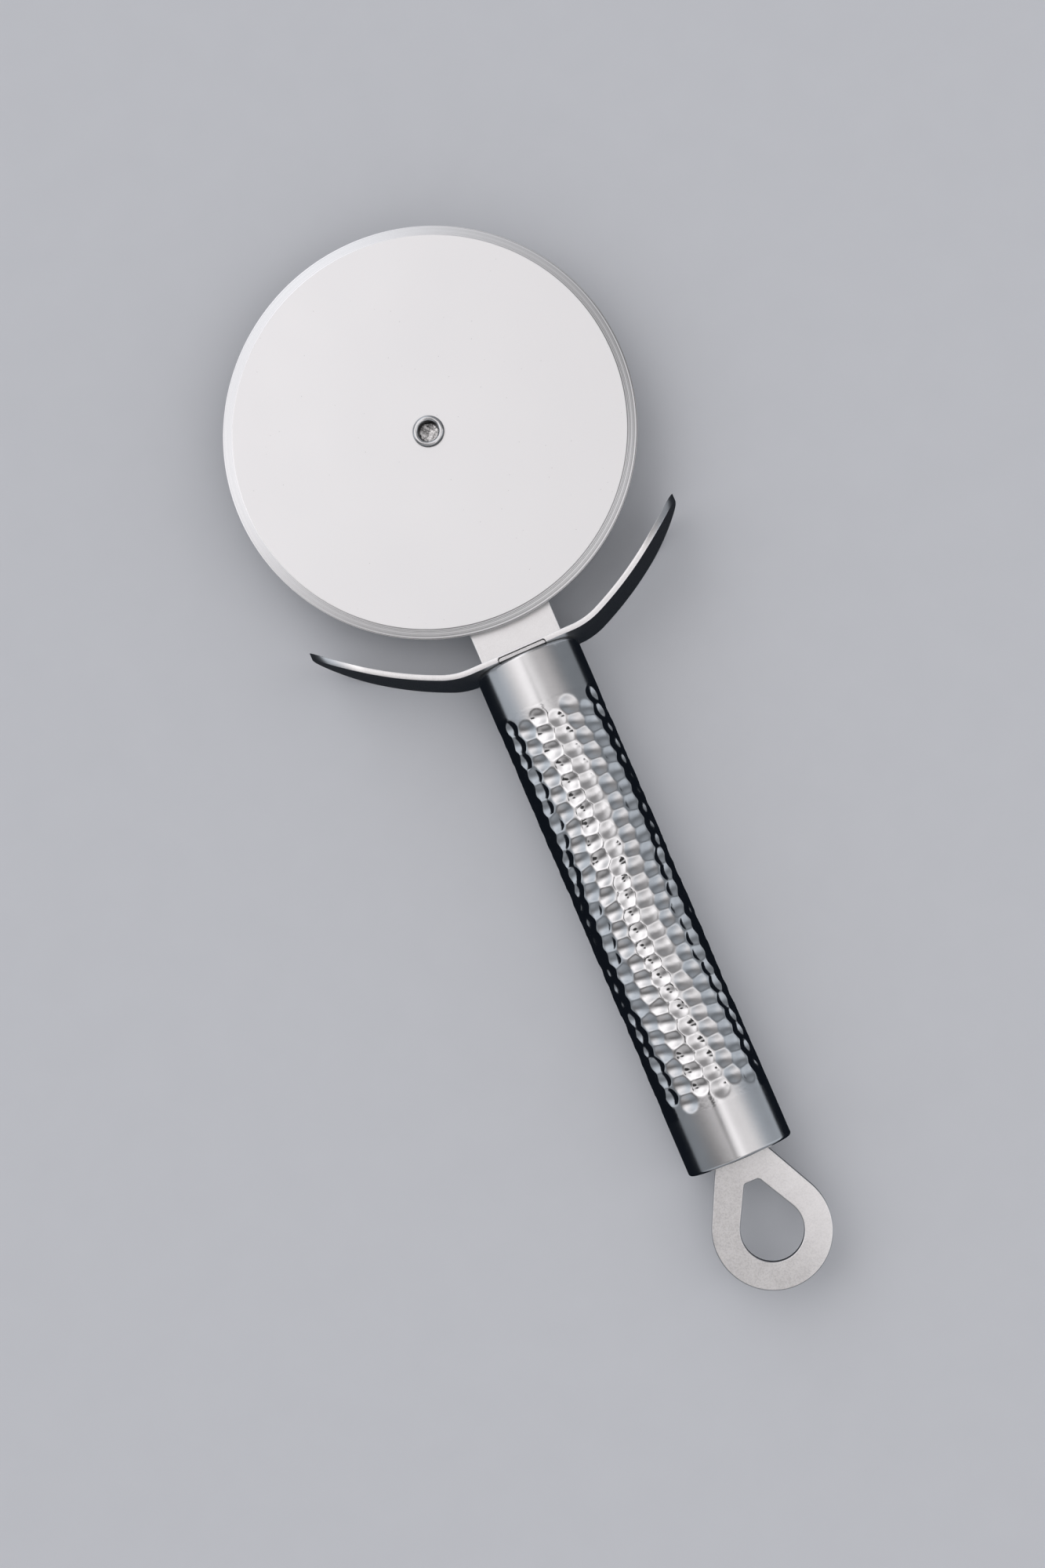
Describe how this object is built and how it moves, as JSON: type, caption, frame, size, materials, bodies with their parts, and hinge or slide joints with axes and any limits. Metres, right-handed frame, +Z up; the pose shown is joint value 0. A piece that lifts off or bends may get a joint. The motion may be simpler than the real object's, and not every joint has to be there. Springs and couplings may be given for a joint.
{
  "type": "pizza cutter",
  "caption": "Pizza cutter: riveted steel wheel on a flat neck, bent finger guard, and a hammered tube handle that ends in a drop-shaped hanging eye.",
  "frame": {"origin": "on the table that the cutter lies on, under the middle of its length and width", "axes": "+X across the cutter, +Y along the handle toward the wheel, +Z up from the table, through the wheel's face"},
  "size_m": [0.1, 0.2704, 0.026],
  "materials": {
    "wheel_steel": "fine satin with a ground bevel",
    "rivet_steel": "plain turned steel",
    "satin_steel": "satin",
    "polished_steel": "polished, hammered",
    "weld_steel": "as welded"
  },
  "bodies": {
    "handle": {"pivot_rivet": "rivet_steel", "spacer_washer": "rivet_steel", "neck_plate": "satin_steel", "finger_guard": "satin_steel", "front_cap": "satin_steel", "handle_tube": "polished_steel", "rear_cap": "satin_steel", "hanging_eye": "satin_steel", "neck_welds": "weld_steel", "eye_welds": "weld_steel"},
    "wheel": {"cutting_wheel": "wheel_steel"}
  },
  "joints": [
    {"name": "wheel_spin", "type": "hinge", "parent": "handle", "child": "wheel", "pos_m": [0, 0.0852, 0.01656], "axis": [0, 0, 1], "continuous": true}
  ]
}
